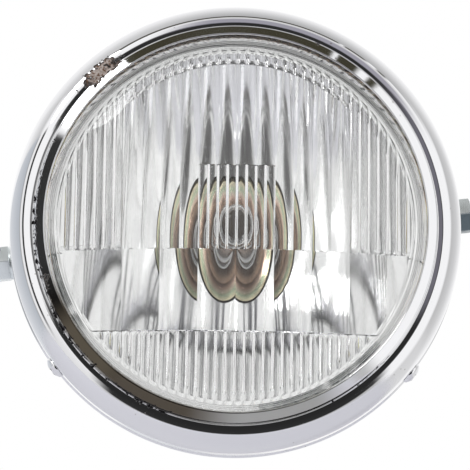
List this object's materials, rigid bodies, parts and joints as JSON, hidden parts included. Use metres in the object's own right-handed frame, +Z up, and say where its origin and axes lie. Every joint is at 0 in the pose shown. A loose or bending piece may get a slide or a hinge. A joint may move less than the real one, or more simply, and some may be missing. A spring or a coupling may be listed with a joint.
{
  "type": "motorcycle headlight",
  "caption": "Round motorcycle headlight: a chromed rim holds a fluted glass lens and mirrored reflector unit on a chromed bucket that hangs on a hex bolt at each side.",
  "frame": {"origin": "where the axis of the two side bolts crosses the lamp's own axis", "axes": "-Y is the way the lamp shines, +Y to the wire grommet at its back, +Z up, +X to the right of a viewer in front of it"},
  "size_m": [0.193, 0.1088, 0.1798],
  "materials": {
    "rim_chrome": "bright chrome plate on pressed steel, with pits and a rust spot at the edge",
    "bucket_chrome": "bright chrome plate on drawn steel",
    "screw_chrome": "bright plated screw",
    "lens_glass": "clear pressed glass, very slightly green, fluted inside",
    "mirror_bowl": "vacuum-coated aluminium mirror on a pressed steel bowl",
    "black_rubber": "matt black rubber",
    "pale_seal": "pale grey sealing ring",
    "white_zinc": "bright zinc plate",
    "yellow_zinc": "yellow passivated zinc plate with rainbow tints",
    "bolt_zinc": "blue-white zinc plate",
    "bulb_metal": "plain bulb metal",
    "bulb_clear": "thin clear bulb glass",
    "filament": "bare wire"
  },
  "bodies": {
    "root": {"rim": "rim_chrome", "lens": "lens_glass", "lens_gasket": "pale_seal", "reflector": "mirror_bowl", "rim_brackets": "white_zinc", "flange_clips": "white_zinc", "clip_screws": "white_zinc", "bulb_collar": "yellow_zinc", "bulb_base": "bulb_metal", "bulb_glass": "bulb_clear", "bulb_coils": "filament", "bulb_shield": "bulb_metal", "bulb_blades": "bulb_metal", "bulb_retainer": "white_zinc", "dust_boot": "black_rubber", "bucket": "bucket_chrome", "wire_grommet": "black_rubber", "side_bolts": "bolt_zinc", "side_spring_washers": "bolt_zinc", "side_washers": "bolt_zinc", "side_nuts": "bolt_zinc", "rim_screws": "screw_chrome", "rim_nuts": "white_zinc"}
  },
  "joints": []
}
